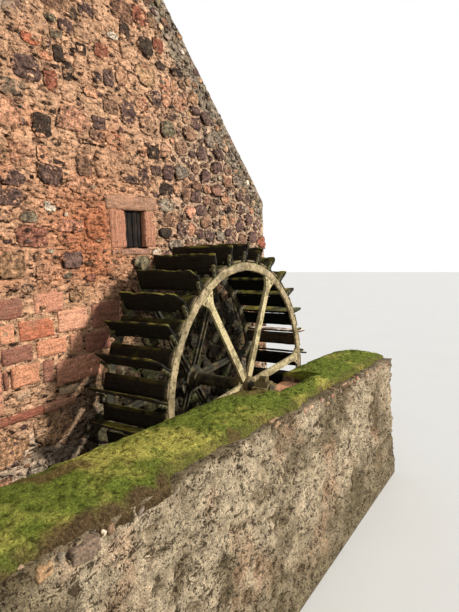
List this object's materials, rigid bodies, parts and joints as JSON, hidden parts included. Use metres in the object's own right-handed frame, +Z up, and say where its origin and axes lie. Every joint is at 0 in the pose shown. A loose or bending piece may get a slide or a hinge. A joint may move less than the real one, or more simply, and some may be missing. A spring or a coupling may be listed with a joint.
{
  "type": "watermill",
  "caption": "Rubble-stone mill with steep tiled roof between gables and a breastshot wheel of iron and timber turning in a walled race.",
  "frame": {"origin": "foot of the wheel gable, under the axle, in the middle of the wall's thickness", "axes": "+X along the wheel gable towards its right corner, +Y from the wheel into the building, +Z up"},
  "size_m": [7.65, 10.82, 8.3041],
  "materials": {
    "rubble_stone": "weathered red sandstone and dark whin rubble in wide lime mortar",
    "dressed_stone": "weathered red sandstone, tooled",
    "stone_flags": "worn flags",
    "clay_tile": "weathered orange pantiles with lichen",
    "grey_boards": "weathered grey boards",
    "limed_rubble": "rough rubble under worn lime mortar",
    "mossy_earth": "soft moss-grown earth",
    "rusty_iron": "rusty cast iron with moss",
    "lichened_iron": "cast iron, tan with rust and lichen",
    "wet_timber": "wet black oak with moss on its edges"
  },
  "bodies": {
    "building": {"wheel_gable_left": "rubble_stone", "wheel_gable_right": "rubble_stone", "wheel_gable_under_window": "rubble_stone", "wheel_gable_top": "rubble_stone", "back_gable_left": "rubble_stone", "back_gable_right": "rubble_stone", "back_gable_under_door": "rubble_stone", "back_gable_top": "rubble_stone", "left_side_wall": "rubble_stone", "right_side_wall": "rubble_stone", "window_lintels": "dressed_stone", "window_jambs": "dressed_stone", "window_sills": "dressed_stone", "door_lintel": "dressed_stone", "door_jambs": "dressed_stone", "door_threshold": "dressed_stone", "band_course": "dressed_stone", "pad_stone": "dressed_stone", "ground_floor": "stone_flags", "roof_left_slope": "clay_tile", "roof_right_slope": "clay_tile", "ridge_tiles": "clay_tile", "window_boards": "grey_boards", "door_leaf": "grey_boards", "pit_wall": "limed_rubble", "earth_capping": "mossy_earth", "bearing_block": "rusty_iron", "bearing_cap": "rusty_iron", "wall_bearing": "rusty_iron"},
    "wheel": {"axle": "rusty_iron", "front_hub": "rusty_iron", "back_hub": "rusty_iron", "front_rim": "lichened_iron", "back_rim": "lichened_iron", "front_arms": "lichened_iron", "back_arms": "lichened_iron", "float_boards": "wet_timber", "sole_boards": "wet_timber"}
  },
  "joints": [
    {"name": "wheel_spin", "type": "hinge", "parent": "building", "child": "wheel", "pos_m": [0, -1.05, 2.2], "axis": [0, 1, 0], "continuous": true}
  ]
}
